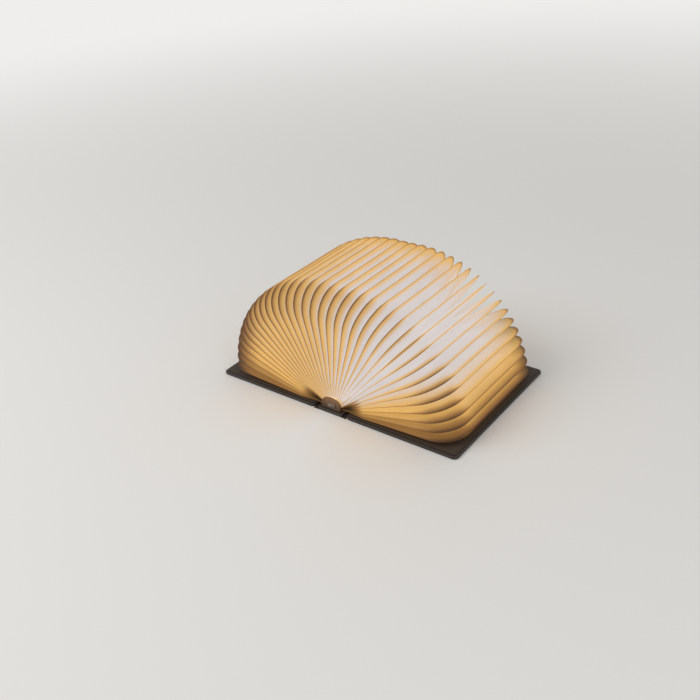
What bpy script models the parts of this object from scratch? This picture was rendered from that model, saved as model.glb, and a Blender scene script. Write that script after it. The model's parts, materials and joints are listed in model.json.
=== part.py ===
"""A folding book lamp: two hard covers on a spine, and a fan of paper leaves lit from inside.

It lies open on its covers, with its spine along Y, its charging socket at the -Y end and +Z up.
Each leaf is a folded strip that runs from the spine round the tail, the fore-edge and the head.
The two covers turn on the outer edges of the spine, from folded back, through open, to shut.
"""

import math

import bmesh
import bpy
from mathutils import Matrix, Vector

MM = 0.001

# Gap between pieces that touch
CLEARANCE = 0.3 * MM
# How far a cutter runs past what it cuts
OVERRUN = 1.0 * MM

# The closed lamp
CLOSED_LENGTH = 170.0 * MM
CLOSED_WIDTH = 130.0 * MM
CLOSED_THICKNESS = 32.0 * MM

# Covers
BOARD_THICKNESS = 3.0 * MM
BOARD_CORNER = 5.0 * MM
BOARD_EDGE = 0.6 * MM
HINGE_GROOVE = 3.5 * MM
SPINE_SET_BACK = 0.5 * MM
SPINE_CORNER = 1.5 * MM
CLOTH_THICKNESS = 0.5 * MM
LINING_THICKNESS = 0.5 * MM
LINING_MARGIN = 2.5 * MM
LINING_CORNER = 3.0 * MM

# Leaves
LEAVES_PER_SIDE = 18
LEAF_SQUARE = 3.5 * MM
LEAF_CORNER = 28.0 * MM
LEAF_DEPTH = 38.0 * MM
LEAF_WALL = 0.25 * MM
LEAF_FOLD_CORNER = 4.0 * MM
LEAF_START = 13.0 * MM
LEAF_CORNER_STEPS = 5
LEAF_EDGE_STEPS = 3

# Core: the tray on the spine with its lid and ends
TRAY_WIDTH = 19.0 * MM
TRAY_HEIGHT = 7.7 * MM
TRAY_WALL = 1.2 * MM
TRAY_END_SET_BACK = 5.7 * MM
LID_RISE = 4.0 * MM
LID_WALL = 1.0 * MM
LID_STEPS = 16
END_WIDTH = 22.6 * MM
END_THICKNESS = 2.0 * MM
END_SHOULDER = 6.0 * MM
END_HEIGHT = 12.7 * MM
END_STEPS = 16

# Charging and power
BATTERY_LENGTH = 70.0 * MM
BATTERY_WIDTH = 15.0 * MM
BATTERY_THICKNESS = 4.4 * MM
BATTERY_CORNER = 1.5 * MM
CHARGE_BOARD_LENGTH = 25.0 * MM
CHARGE_BOARD_WIDTH = 15.4 * MM
CIRCUIT_THICKNESS = 1.0 * MM
SOCKET_WIDTH = 7.5 * MM
SOCKET_HEIGHT = 2.7 * MM
SOCKET_LENGTH = 5.6 * MM
SOCKET_WALL = 0.3 * MM
TONGUE_WIDTH = 4.4 * MM
TONGUE_THICKNESS = 0.6 * MM
TONGUE_SET_BACK = 0.8 * MM
REED_DIAMETER = 2.2 * MM
REED_LENGTH = 14.0 * MM
REED_OFFSET = 5.9 * MM
REED_SET_BACK = 8.0 * MM

# Light
LIGHT_BOARD_SET_BACK = 7.3 * MM
LIGHT_BOARD_WIDTH = 12.0 * MM
LIGHT_COUNT = 4
LIGHT_SIDE = 5.0 * MM
LIGHT_THICKNESS = 1.2 * MM

# Magnets in the covers
MAGNET_DIAMETER = 10.0 * MM
MAGNET_THICKNESS = 1.5 * MM
MAGNET_MARGIN = 9.0 * MM
SWITCH_MAGNET_DIAMETER = 6.0 * MM
SWITCH_MAGNET_MARGIN = 6.0 * MM
ROUND_STEPS = 24

# Worked out from the sizes above
HINGE_X = CLOSED_THICKNESS / 2
HALF_LENGTH = CLOSED_LENGTH / 2
SPINE_HALF_WIDTH = HINGE_X - SPINE_SET_BACK
BOARD_INNER_X = HINGE_X + HINGE_GROOVE
BOARD_OUTER_X = HINGE_X + CLOSED_WIDTH
LINING_BASE = BOARD_THICKNESS + CLEARANCE
LINING_TOP = LINING_BASE + LINING_THICKNESS
LEAF_FLOOR = LINING_TOP + CLEARANCE
STACK_HALF = HINGE_X - LEAF_FLOOR
LEAF_HALF_LENGTH = HALF_LENGTH - LEAF_SQUARE
LEAF_HEIGHT = CLOSED_WIDTH - LEAF_SQUARE
LEAF_PITCH = math.pi / 2 / LEAVES_PER_SIDE
TRAY_BASE = BOARD_THICKNESS + CLEARANCE
TRAY_TOP = TRAY_BASE + TRAY_HEIGHT
TRAY_HALF_LENGTH = HALF_LENGTH - TRAY_END_SET_BACK
TRAY_FLOOR_TOP = TRAY_BASE + TRAY_WALL
END_INNER_Y = TRAY_HALF_LENGTH + CLEARANCE
END_OUTER_Y = END_INNER_Y + END_THICKNESS
PARTS_BASE = TRAY_FLOOR_TOP + CLEARANCE
SOCKET_BASE = PARTS_BASE + CIRCUIT_THICKNESS + CLEARANCE
LIGHT_BOARD_BASE = PARTS_BASE + BATTERY_THICKNESS + CLEARANCE
LIGHT_BASE = LIGHT_BOARD_BASE + CIRCUIT_THICKNESS + CLEARANCE
CHARGE_BOARD_START = -TRAY_HALF_LENGTH + CLEARANCE
BATTERY_START = CHARGE_BOARD_START + CHARGE_BOARD_LENGTH + CLEARANCE
REED_START = CHARGE_BOARD_START + REED_SET_BACK


def clear_scene():
    for item in list(bpy.data.objects):
        bpy.data.objects.remove(item, do_unlink=True)


def make_material(name, colour, roughness, metallic=0.0):
    material = bpy.data.materials.new(name)
    material.use_nodes = True
    shader = material.node_tree.nodes["Principled BSDF"]
    shader.inputs["Base Color"].default_value = (*colour, 1.0)
    shader.inputs["Roughness"].default_value = roughness
    shader.inputs["Metallic"].default_value = metallic
    return material


def add_axis(name, location):
    """An empty on a joint's axis, which carries the pieces that turn on it."""
    axis = bpy.data.objects.new(name, None)
    axis.location = location
    bpy.context.scene.collection.objects.link(axis)
    return axis


def add_part(name, mesh, material, parent=None):
    """An object from a mesh made in world places, with its origin on its parent."""
    bmesh.ops.recalc_face_normals(mesh, faces=mesh.faces)
    origin = parent.location if parent else Vector()
    bmesh.ops.translate(mesh, verts=mesh.verts, vec=-origin)
    data = bpy.data.meshes.new(name)
    mesh.to_mesh(data)
    mesh.free()
    data.materials.append(material)
    part = bpy.data.objects.new(name, data)
    part.parent = parent
    bpy.context.scene.collection.objects.link(part)
    return part


def box_mesh(low, high, corner=0.0, edge=0.0, steps=3):
    """A box between two points, with rounded upright corners and then softened edges."""
    low, high = Vector(low), Vector(high)
    mesh = bmesh.new()
    bmesh.ops.create_cube(mesh, size=1.0)
    bmesh.ops.scale(mesh, verts=mesh.verts, vec=high - low)
    bmesh.ops.translate(mesh, verts=mesh.verts, vec=(low + high) / 2)
    if corner:
        upright = [e for e in mesh.edges if e.verts[0].co.xy == e.verts[1].co.xy]
        bmesh.ops.bevel(mesh, geom=upright, offset=corner, segments=steps, profile=0.5, affect="EDGES")
    if edge:
        middle = (low.z + high.z) / 2
        flat = [e for e in mesh.edges if (e.verts[0].co.z > middle) == (e.verts[1].co.z > middle)]
        bmesh.ops.bevel(mesh, geom=flat, offset=edge, segments=1, profile=0.5, affect="EDGES")
    return mesh


def disc_mesh(centre, diameter, low, high):
    mesh = bmesh.new()
    bmesh.ops.create_cone(
        mesh, cap_ends=True, segments=ROUND_STEPS, radius1=diameter / 2, radius2=diameter / 2, depth=high - low
    )
    bmesh.ops.translate(mesh, verts=mesh.verts, vec=(*centre, (low + high) / 2))
    return mesh


def outline_mesh(outline, start, length):
    """A prism along Y from an outline of (x, z) points."""
    mesh = bmesh.new()
    face = mesh.faces.new([mesh.verts.new((x, start, z)) for x, z in outline])
    grown = bmesh.ops.extrude_face_region(mesh, geom=[face])
    moved = [v for v in grown["geom"] if isinstance(v, bmesh.types.BMVert)]
    bmesh.ops.translate(mesh, verts=moved, vec=(0.0, length, 0.0))
    return mesh


def cut(part, name, mesh):
    """Cuts a hidden cutter out of a part."""
    cutter = add_part(name, mesh, part.data.materials[0], part.parent)
    cutter.hide_render = True
    cutter.display_type = "WIRE"
    modifier = part.modifiers.new(name, "BOOLEAN")
    modifier.operation = "DIFFERENCE"
    modifier.solver = "EXACT"
    modifier.object = cutter


def arch(half_width, rise, base, steps):
    """Half an ellipse of (x, z) points, from +x over the top to -x."""
    turns = [math.pi * step / steps for step in range(steps + 1)]
    return [(half_width * math.cos(turn), base + rise * math.sin(turn)) for turn in turns]


def root_x(angle):
    """Where a leaf plane at this angle from upright meets the leaf floor.

    The planes are set so that they lie evenly through the stack when the covers are shut.
    """
    lean = math.cos(angle)
    if math.isclose(angle, math.pi / 2):
        return HINGE_X - STACK_HALF / (math.pi / 2)
    shut = STACK_HALF * angle / (math.pi / 2)
    return HINGE_X + (shut - HINGE_X + LEAF_FLOOR * math.sin(angle)) / lean


def leaf_reach(angle):
    """Length of a leaf from its root, so that all leaves are level when the covers are shut."""
    return LEAF_HEIGHT - (root_x(angle) - HINGE_X) * math.sin(angle) - LEAF_FLOOR * math.cos(angle)


def leaf_point(side, angle, reach, y):
    x = root_x(angle) + reach * math.sin(angle)
    return Vector((side * x, y, LEAF_FLOOR + reach * math.cos(angle)))


def leaf_normal(side, angle):
    """Square to a leaf plane, towards its cover."""
    return Vector((side * math.cos(angle), 0.0, -math.sin(angle)))


def leaf_path(reach, half_length, corner):
    """(reach, y) points from the spine round the tail corner and the head corner, back to the spine."""
    tail = []
    for step in range(LEAF_EDGE_STEPS):
        along = (step / LEAF_EDGE_STEPS) * (reach - corner - LEAF_START)
        tail.append((LEAF_START + along, -half_length))
    for step in range(LEAF_CORNER_STEPS + 1):
        turn = math.pi / 2 * step / LEAF_CORNER_STEPS
        tail.append((reach - corner + corner * math.sin(turn), corner - half_length - corner * math.cos(turn)))
    return tail + [(r, -y) for r, y in reversed(tail)]


def add_leaf_band(mesh, ring, following):
    """Faces between two sections of a leaf, with the same diagonals on the outer and inner side of each wall."""
    for near, far in ((0, 1), (3, 2), (1, 2), (0, 5), (3, 4), (5, 4)):
        mesh.faces.new((ring[near], following[near], following[far]))
        mesh.faces.new((ring[near], following[far], ring[far]))


def leaf_mesh(side, number):
    """One leaf: two thin walls that meet at the outer ridge and stand apart at the inner edges."""
    angle = (number - 0.5) * LEAF_PITCH
    reach = leaf_reach(angle)
    ridge_path = leaf_path(reach, LEAF_HALF_LENGTH, LEAF_CORNER)
    inner_path = leaf_path(reach - LEAF_DEPTH, LEAF_HALF_LENGTH - LEAF_DEPTH, LEAF_FOLD_CORNER)
    mesh = bmesh.new()
    rings = []
    for ridge_place, inner_place in zip(ridge_path, inner_path):
        ridge = leaf_point(side, angle, *ridge_place)
        outer, inner = [], []
        for turn in (-LEAF_PITCH / 2, LEAF_PITCH / 2):
            inward = -math.copysign(1.0, turn) * leaf_normal(side, angle + turn)
            corner = leaf_point(side, angle + turn, *inner_place) + inward * CLEARANCE / 2
            outer.append(corner)
            inner.append(corner + inward * LEAF_WALL)
        half_width = (outer[1] - outer[0]).length / 2
        middle = (outer[0] + outer[1]) / 2
        fold = ridge + (middle - ridge) * LEAF_WALL / half_width
        places = (ridge, outer[1], inner[1], fold, inner[0], outer[0])
        rings.append([mesh.verts.new(place) for place in places])
    for number, (ring, following) in enumerate(zip(rings, rings[1:])):
        if number >= len(rings) // 2:
            ring, following = following, ring
        add_leaf_band(mesh, ring, following)
    for ridge, outer_b, inner_b, fold, inner_a, outer_a in (rings[0], rings[-1]):
        mesh.faces.new((ridge, outer_b, inner_b, fold))
        mesh.faces.new((ridge, fold, inner_a, outer_a))
    return mesh


def add_leaves(paper):
    for side, name in ((1, "right"), (-1, "left")):
        for number in range(1, LEAVES_PER_SIDE + 1):
            add_part(f"{name}_leaf_{number:02d}", leaf_mesh(side, number), paper)


def add_cover(side, name, axis, cloth, end_paper, steel):
    """A cover board with its lining and the magnet that holds the covers back to back."""

    def across(inner, outer):
        return sorted((side * inner, side * outer))

    near, far = across(BOARD_INNER_X, BOARD_OUTER_X)
    low, high = (near, -HALF_LENGTH, 0.0), (far, HALF_LENGTH, BOARD_THICKNESS)
    board = add_part(f"{name}_cover_board", box_mesh(low, high, BOARD_CORNER, BOARD_EDGE), cloth, axis)

    near, far = across(BOARD_INNER_X + LINING_MARGIN, BOARD_OUTER_X - LINING_MARGIN)
    end = HALF_LENGTH - LINING_MARGIN
    low, high = (near, -end, LINING_BASE), (far, end, LINING_TOP)
    add_part(f"{name}_cover_lining", box_mesh(low, high, LINING_CORNER), end_paper, axis)

    x = side * (BOARD_OUTER_X - MAGNET_MARGIN)
    add_magnet(f"{name}_cover_magnet", board, (x, 0.0), MAGNET_DIAMETER, steel)
    return board


def add_magnet(name, board, centre, diameter, steel):
    """A disc magnet in a pocket of a cover board, under the lining."""
    low = BOARD_THICKNESS - MAGNET_THICKNESS
    add_part(name, disc_mesh(centre, diameter, low, BOARD_THICKNESS), steel, board.parent)
    pocket = disc_mesh(centre, diameter + 2 * CLEARANCE, low - CLEARANCE, BOARD_THICKNESS + OVERRUN)
    cut(board, f"{name}_pocket", pocket)


def add_hinge_cloth(side, name, cloth):
    """The strip of cloth across the groove between the spine and a cover."""
    inner, outer = SPINE_HALF_WIDTH + CLEARANCE, BOARD_INNER_X - CLEARANCE
    near, far = sorted((side * inner, side * outer))
    low, high = (near, -HALF_LENGTH, 0.0), (far, HALF_LENGTH, CLOTH_THICKNESS)
    add_part(f"{name}_hinge_cloth", box_mesh(low, high), cloth)


def add_spine(cloth):
    low = (-SPINE_HALF_WIDTH, -HALF_LENGTH, 0.0)
    high = (SPINE_HALF_WIDTH, HALF_LENGTH, BOARD_THICKNESS)
    add_part("spine_board", box_mesh(low, high, SPINE_CORNER, BOARD_EDGE), cloth)


def add_core(plastic, milky):
    """The tray on the spine and the arched lid that spreads the light."""
    half = TRAY_WIDTH / 2
    inside = half - TRAY_WALL
    channel = [
        (-half, TRAY_BASE), (half, TRAY_BASE), (half, TRAY_TOP), (inside, TRAY_TOP),
        (inside, TRAY_FLOOR_TOP), (-inside, TRAY_FLOOR_TOP), (-inside, TRAY_TOP), (-half, TRAY_TOP),
    ]
    add_part("core_tray", outline_mesh(channel, -TRAY_HALF_LENGTH, 2 * TRAY_HALF_LENGTH), plastic)
    base = TRAY_TOP + CLEARANCE
    shell = arch(half, LID_RISE, base, LID_STEPS)
    shell += reversed(arch(half - LID_WALL, LID_RISE - LID_WALL, base, LID_STEPS))
    add_part("light_diffuser", outline_mesh(shell, -TRAY_HALF_LENGTH, 2 * TRAY_HALF_LENGTH), milky)


def end_mesh(start):
    """An end of the core: straight shoulders under a low arch."""
    half = END_WIDTH / 2
    shoulder = TRAY_BASE + END_SHOULDER
    outline = [(-half, TRAY_BASE), (half, TRAY_BASE)]
    outline += arch(half, END_HEIGHT - END_SHOULDER, shoulder, END_STEPS)
    return outline_mesh(outline, start, END_THICKNESS)


def add_ends(plastic):
    tail = add_part("tail_end_cap", end_mesh(-END_OUTER_Y), plastic)
    half = SOCKET_WIDTH / 2 + CLEARANCE
    low = (-half, -END_OUTER_Y - OVERRUN, SOCKET_BASE - CLEARANCE)
    high = (half, -END_INNER_Y + OVERRUN, SOCKET_BASE + SOCKET_HEIGHT + CLEARANCE)
    cut(tail, "socket_window", box_mesh(low, high))
    add_part("head_end_cap", end_mesh(END_INNER_Y), plastic)


def add_socket(steel, plastic):
    """The charging socket: a drawn metal shell, open at the tail, round a tongue."""
    half = SOCKET_WIDTH / 2
    back = -END_OUTER_Y + SOCKET_LENGTH
    top = SOCKET_BASE + SOCKET_HEIGHT
    shell = add_part("socket_shell", box_mesh((-half, -END_OUTER_Y, SOCKET_BASE), (half, back, top)), steel)
    low = (-half + SOCKET_WALL, -END_OUTER_Y - OVERRUN, SOCKET_BASE + SOCKET_WALL)
    high = (half - SOCKET_WALL, back - SOCKET_WALL, top - SOCKET_WALL)
    cut(shell, "socket_mouth", box_mesh(low, high))
    middle = SOCKET_BASE + SOCKET_HEIGHT / 2
    low = (-TONGUE_WIDTH / 2, -END_OUTER_Y + TONGUE_SET_BACK, middle - TONGUE_THICKNESS / 2)
    high = (TONGUE_WIDTH / 2, back - SOCKET_WALL - CLEARANCE, middle + TONGUE_THICKNESS / 2)
    add_part("socket_tongue", box_mesh(low, high), plastic)


def add_power(circuit, foil, glass):
    """The battery cell, the charging board and the reed switch, all in the tray."""
    low = (-BATTERY_WIDTH / 2, BATTERY_START, PARTS_BASE)
    high = (BATTERY_WIDTH / 2, BATTERY_START + BATTERY_LENGTH, PARTS_BASE + BATTERY_THICKNESS)
    add_part("battery_cell", box_mesh(low, high, BATTERY_CORNER), foil)
    end = CHARGE_BOARD_START + CHARGE_BOARD_LENGTH
    low = (-CHARGE_BOARD_WIDTH / 2, CHARGE_BOARD_START, PARTS_BASE)
    high = (CHARGE_BOARD_WIDTH / 2, end, PARTS_BASE + CIRCUIT_THICKNESS)
    add_part("charge_board", box_mesh(low, high), circuit)
    mesh = disc_mesh((0.0, 0.0), REED_DIAMETER, -REED_LENGTH / 2, REED_LENGTH / 2)
    bmesh.ops.rotate(mesh, verts=mesh.verts, matrix=Matrix.Rotation(math.pi / 2, 3, "X"))
    place = (REED_OFFSET, REED_START + REED_LENGTH / 2, SOCKET_BASE + REED_DIAMETER / 2)
    bmesh.ops.translate(mesh, verts=mesh.verts, vec=place)
    add_part("reed_switch", mesh, glass)


def add_lights(circuit, phosphor):
    half = TRAY_HALF_LENGTH - LIGHT_BOARD_SET_BACK
    low = (-LIGHT_BOARD_WIDTH / 2, -half, LIGHT_BOARD_BASE)
    high = (LIGHT_BOARD_WIDTH / 2, half, LIGHT_BOARD_BASE + CIRCUIT_THICKNESS)
    add_part("light_board", box_mesh(low, high), circuit)
    pitch = 2 * half / LIGHT_COUNT
    for number in range(LIGHT_COUNT):
        y = -half + (number + 0.5) * pitch
        low = (-LIGHT_SIDE / 2, y - LIGHT_SIDE / 2, LIGHT_BASE)
        high = (LIGHT_SIDE / 2, y + LIGHT_SIDE / 2, LIGHT_BASE + LIGHT_THICKNESS)
        add_part(f"light_{number + 1}", box_mesh(low, high), phosphor)


def main():
    clear_scene()
    cloth = make_material("dark_brown_cover", (0.030, 0.018, 0.012), 0.6)
    end_paper = make_material("kraft_end_paper", (0.20, 0.11, 0.05), 0.8)
    paper = make_material("fibre_paper", (0.86, 0.80, 0.70), 0.75)
    brown = make_material("brown_plastic", (0.11, 0.055, 0.03), 0.4)
    milky = make_material("milky_plastic", (0.90, 0.88, 0.82), 0.35)
    circuit = make_material("white_circuit_board", (0.80, 0.80, 0.76), 0.5)
    foil = make_material("battery_foil", (0.62, 0.63, 0.65), 0.35, 1.0)
    steel = make_material("plated_steel", (0.70, 0.70, 0.72), 0.25, 1.0)
    black = make_material("black_plastic", (0.02, 0.02, 0.022), 0.45)
    glass = make_material("switch_glass", (0.25, 0.38, 0.30), 0.15)
    phosphor = make_material("light_phosphor", (0.95, 0.75, 0.25), 0.5)

    right_axis = add_axis("right_hinge_axis", Vector((HINGE_X, 0.0, 0.0)))
    left_axis = add_axis("left_hinge_axis", Vector((-HINGE_X, 0.0, 0.0)))
    right_board = add_cover(1, "right", right_axis, cloth, end_paper, steel)
    add_cover(-1, "left", left_axis, cloth, end_paper, steel)
    switch_place = (BOARD_INNER_X + SWITCH_MAGNET_MARGIN, REED_START + REED_LENGTH / 2)
    add_magnet("switch_magnet", right_board, switch_place, SWITCH_MAGNET_DIAMETER, steel)
    add_hinge_cloth(1, "right", cloth)
    add_hinge_cloth(-1, "left", cloth)
    add_spine(cloth)
    add_core(brown, milky)
    add_ends(brown)
    add_socket(steel, black)
    add_power(circuit, foil, glass)
    add_lights(circuit, phosphor)
    add_leaves(paper)


main()
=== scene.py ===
"""Dresses the folding book lamp: lit paper leaves, cloth covers, the core with its ends, and a studio."""

import json
import math

import bmesh
import bpy
from bpy.props import FloatProperty, FloatVectorProperty, PointerProperty
from mathutils import Matrix, Vector, noise

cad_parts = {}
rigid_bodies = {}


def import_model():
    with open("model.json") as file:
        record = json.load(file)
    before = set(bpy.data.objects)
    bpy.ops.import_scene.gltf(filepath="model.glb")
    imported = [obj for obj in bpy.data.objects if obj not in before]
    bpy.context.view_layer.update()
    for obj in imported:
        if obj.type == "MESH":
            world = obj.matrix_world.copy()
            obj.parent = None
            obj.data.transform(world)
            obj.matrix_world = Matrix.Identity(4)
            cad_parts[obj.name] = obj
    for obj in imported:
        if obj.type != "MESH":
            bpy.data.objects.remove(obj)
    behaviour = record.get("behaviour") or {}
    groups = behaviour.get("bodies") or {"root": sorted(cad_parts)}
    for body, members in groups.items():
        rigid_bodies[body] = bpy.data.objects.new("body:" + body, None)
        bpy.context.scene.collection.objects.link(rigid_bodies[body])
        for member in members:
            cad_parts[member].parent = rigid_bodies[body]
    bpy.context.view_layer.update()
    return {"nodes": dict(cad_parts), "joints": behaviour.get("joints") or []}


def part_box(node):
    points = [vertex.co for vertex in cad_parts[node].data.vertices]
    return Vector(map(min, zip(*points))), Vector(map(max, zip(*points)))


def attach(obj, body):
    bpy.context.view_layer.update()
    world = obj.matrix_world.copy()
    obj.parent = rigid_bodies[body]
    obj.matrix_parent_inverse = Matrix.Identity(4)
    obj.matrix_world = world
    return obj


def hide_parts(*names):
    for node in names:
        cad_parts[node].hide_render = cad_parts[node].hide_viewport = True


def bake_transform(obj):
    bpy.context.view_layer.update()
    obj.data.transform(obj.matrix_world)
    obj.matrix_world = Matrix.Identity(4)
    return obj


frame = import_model()

bl_info = {
    "name": "Folding Book Lamp",
    "version": (1, 0, 0),
    "blender": (4, 5, 0),
    "location": "3D View > Sidebar > Book Lamp",
    "description": "Builds a book-shaped lamp with a fan of lit paper leaves around its packed frame",
    "category": "Object",
}

MM = 0.001
SIDES = ((1, "right"), (-1, "left"))
# The base colour of the paper of the leaves and of the bands round the core: a dim amber that stands in for
# part of their glow, painted light rather than the paper's own white
PAPER_COLOUR = (0.14, 0.10, 0.055)

# Places that the frame gives
HINGE_X = abs(frame["joints"][0]["pos_m"][0])
SPINE_LOW, SPINE_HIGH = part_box("spine_board")
TRAY_LOW, TRAY_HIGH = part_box("core_tray")
BAR_LOW, BAR_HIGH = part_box("light_diffuser")
SOCKET_LOW, SOCKET_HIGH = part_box("socket_shell")
END_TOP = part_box("tail_end_cap")[1].z
LIGHT_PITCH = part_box("light_2")[0].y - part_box("light_1")[0].y
CLEARANCE = TRAY_LOW.z - SPINE_HIGH.z

# The fan of leaves, on the same planes as in the frame
LEAVES_PER_SIDE = sum(name.startswith("right_leaf_") for name in frame["nodes"])
LEAF_PITCH = math.pi / 2 / LEAVES_PER_SIDE
LEAF_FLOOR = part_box("right_cover_lining")[1].z + CLEARANCE
STACK_HALF = HINGE_X - LEAF_FLOOR
LEAF_HALF_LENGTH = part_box("right_leaf_01")[1].y
LEAF_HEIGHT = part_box("right_cover_board")[1].x - HINGE_X - (SPINE_HIGH.y - LEAF_HALF_LENGTH)


class LeafSettings(bpy.types.PropertyGroup):
    corner: FloatProperty(
        name="Corner", description="Radius of a leaf's outer corners", default=28 * MM, unit="LENGTH"
    )
    depth: FloatProperty(
        name="Depth", description="From a leaf's ridge in to its inner edges", default=38 * MM, unit="LENGTH"
    )
    inner_corner: FloatProperty(
        name="Inner corner", description="Radius of the inner edges' corners", default=4 * MM, unit="LENGTH"
    )
    start: FloatProperty(
        name="Start", description="From the root to the first free section", default=13 * MM, unit="LENGTH"
    )
    wall: FloatProperty(
        name="Paper", description="Thickness of the paper", default=0.25 * MM, unit="LENGTH"
    )
    bulge: FloatProperty(
        name="Bulge", description="How far the walls swell, as a share of their half width", default=0.12
    )
    ripple: FloatProperty(
        name="Ripple", description="How far the paper waves off its plane", default=0.22 * MM, unit="LENGTH"
    )
    soft_fold: FloatVectorProperty(
        name="Fold", description="Glow on the outer fold", default=(0.22, 0.100, 0.026), subtype="COLOR"
    )
    dark_fold: FloatVectorProperty(
        name="Corner fold", description="Glow on the fold round a corner",
        default=(0.07, 0.029, 0.009), subtype="COLOR",
    )
    amber: FloatVectorProperty(
        name="Amber", description="Glow just inside the fold", default=(0.36, 0.170, 0.045), subtype="COLOR"
    )
    gold: FloatVectorProperty(
        name="Gold", description="Glow on the outer part of a wall",
        default=(0.66, 0.385, 0.105), subtype="COLOR",
    )
    cream: FloatVectorProperty(
        name="Cream", description="Glow deep between the leaves", default=(0.55, 0.522, 0.53), subtype="COLOR"
    )
    # The paper's base colour: a dim amber that stands in for part of the glow, painted light
    paper: FloatVectorProperty(
        name="Paper colour", description="The paper by daylight", default=PAPER_COLOUR, subtype="COLOR"
    )
    # Painted shade: a darker base colour on the folds and on the lowest leaves
    shaded_fold_paper: FloatVectorProperty(
        name="Fold colour", description="The fold by daylight", default=(0.07, 0.038, 0.018), subtype="COLOR"
    )


class CoverSettings(bpy.types.PropertyGroup):
    corner: FloatProperty(
        name="Corner", description="Radius of the cover's corners", default=5 * MM, unit="LENGTH"
    )
    edge: FloatProperty(
        name="Edge", description="Radius of the cloth at the boards' edges", default=1.1 * MM, unit="LENGTH"
    )
    groove: FloatProperty(
        name="Groove", description="Depth of the groove pressed beside the spine",
        default=0.25 * MM, unit="LENGTH",
    )
    cloth: FloatVectorProperty(
        name="Cloth", description="Colour of the cover cloth", default=(0.026, 0.017, 0.012), subtype="COLOR"
    )
    worn_cloth: FloatVectorProperty(
        name="Worn cloth", description="Colour where the cloth is rubbed",
        default=(0.050, 0.033, 0.022), subtype="COLOR",
    )
    end_paper: FloatVectorProperty(
        name="End paper", description="Colour of the lining", default=(0.050, 0.033, 0.022), subtype="COLOR"
    )


class CoreSettings(bpy.types.PropertyGroup):
    shoulder: FloatProperty(
        name="Shoulder", description="Straight height of an end's sides", default=6 * MM, unit="LENGTH"
    )
    rim: FloatProperty(
        name="Rim", description="Width of the raised rim round an end", default=1.3 * MM, unit="LENGTH"
    )
    recess: FloatProperty(
        name="Recess", description="How far an end's face is sunk in its rim", default=0.5 * MM, unit="LENGTH"
    )
    socket_corner: FloatProperty(
        name="Socket corner", description="Radius of the socket shell's corners",
        default=1.1 * MM, unit="LENGTH",
    )
    plastic: FloatVectorProperty(
        name="Plastic", description="Colour of the tray and ends",
        default=(0.20, 0.100, 0.042), subtype="COLOR",
    )
    light: FloatVectorProperty(
        name="Light", description="Glow of the lit bar", default=(1.0, 0.72, 0.36), subtype="COLOR"
    )
    band_foot: FloatVectorProperty(
        name="Band foot", description="Glow low on the paper bands",
        default=(0.30, 0.130, 0.030), subtype="COLOR",
    )
    band_top: FloatVectorProperty(
        name="Band top", description="Glow high on the paper bands",
        default=(0.70, 0.480, 0.220), subtype="COLOR",
    )


class StageSettings(bpy.types.PropertyGroup):
    azimuth: FloatProperty(
        name="Azimuth", description="Camera's turn round the lamp", default=math.radians(40), subtype="ANGLE"
    )
    elevation: FloatProperty(
        name="Elevation", description="Camera's height angle", default=math.radians(31), subtype="ANGLE"
    )
    roll: FloatProperty(
        name="Roll", description="Camera's turn on its own axis", default=math.radians(-5.5), subtype="ANGLE"
    )
    distance: FloatProperty(
        name="Distance", description="Camera to target", default=0.9, unit="LENGTH"
    )
    lens: FloatProperty(
        name="Lens", description="Focal length in millimetres", default=45.1
    )
    key: FloatProperty(
        name="Key", description="Power of the main soft light in watts", default=9.0
    )
    fill: FloatProperty(
        name="Fill", description="Power of the second soft light in watts", default=3.0
    )
    sky: FloatProperty(
        name="Sky", description="Strength of the even light from all round", default=0.55
    )


class Value:
    """A number, vector or colour in a node tree, for sums written as plain Python."""

    def __init__(self, nodes, socket):
        self.nodes = nodes
        self.socket = socket

    def __add__(self, other):
        return self.nodes.math("ADD", self, other)

    def __radd__(self, other):
        return self.nodes.math("ADD", other, self)

    def __sub__(self, other):
        return self.nodes.math("SUBTRACT", self, other)

    def __rsub__(self, other):
        return self.nodes.math("SUBTRACT", other, self)

    def __mul__(self, other):
        return self.nodes.math("MULTIPLY", self, other)

    def __rmul__(self, other):
        return self.nodes.math("MULTIPLY", other, self)

    def __truediv__(self, other):
        return self.nodes.math("DIVIDE", self, other)

    def __rtruediv__(self, other):
        return self.nodes.math("DIVIDE", other, self)


def between(share, first, second):
    """Runs from the first number to the second as a share goes from 0 to 1."""
    return first + (second - first) * share


def waver(value, spread):
    """A factor round 1 that rises by a spread in all, as a value goes from 0 to 1."""
    return (1.0 - spread / 2) + spread * value


class Nodes:
    """A node tree under construction, with one way to add any node."""

    def __init__(self, tree):
        self.tree = tree

    def fill(self, socket, value):
        """Links a socket to a value, or sets it."""
        if isinstance(value, Value):
            self.tree.links.new(value.socket, socket)
        elif socket.type == "RGBA" and len(value) == 3:
            socket.default_value = (*value, 1.0)
        else:
            socket.default_value = value

    def node(self, kind, settings=None, inputs=None, output=0):
        """Adds a node, with its settings first and then its sockets' values or links."""
        made = self.tree.nodes.new(kind)
        for name, setting in (settings or {}).items():
            setattr(made, name, setting)
        for name, value in (inputs or {}).items():
            self.fill(made.inputs[name], value)
        return Value(self, made.outputs[output])

    def math(self, operation, *values):
        return self.node("ShaderNodeMath", {"operation": operation}, dict(enumerate(values)))


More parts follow.
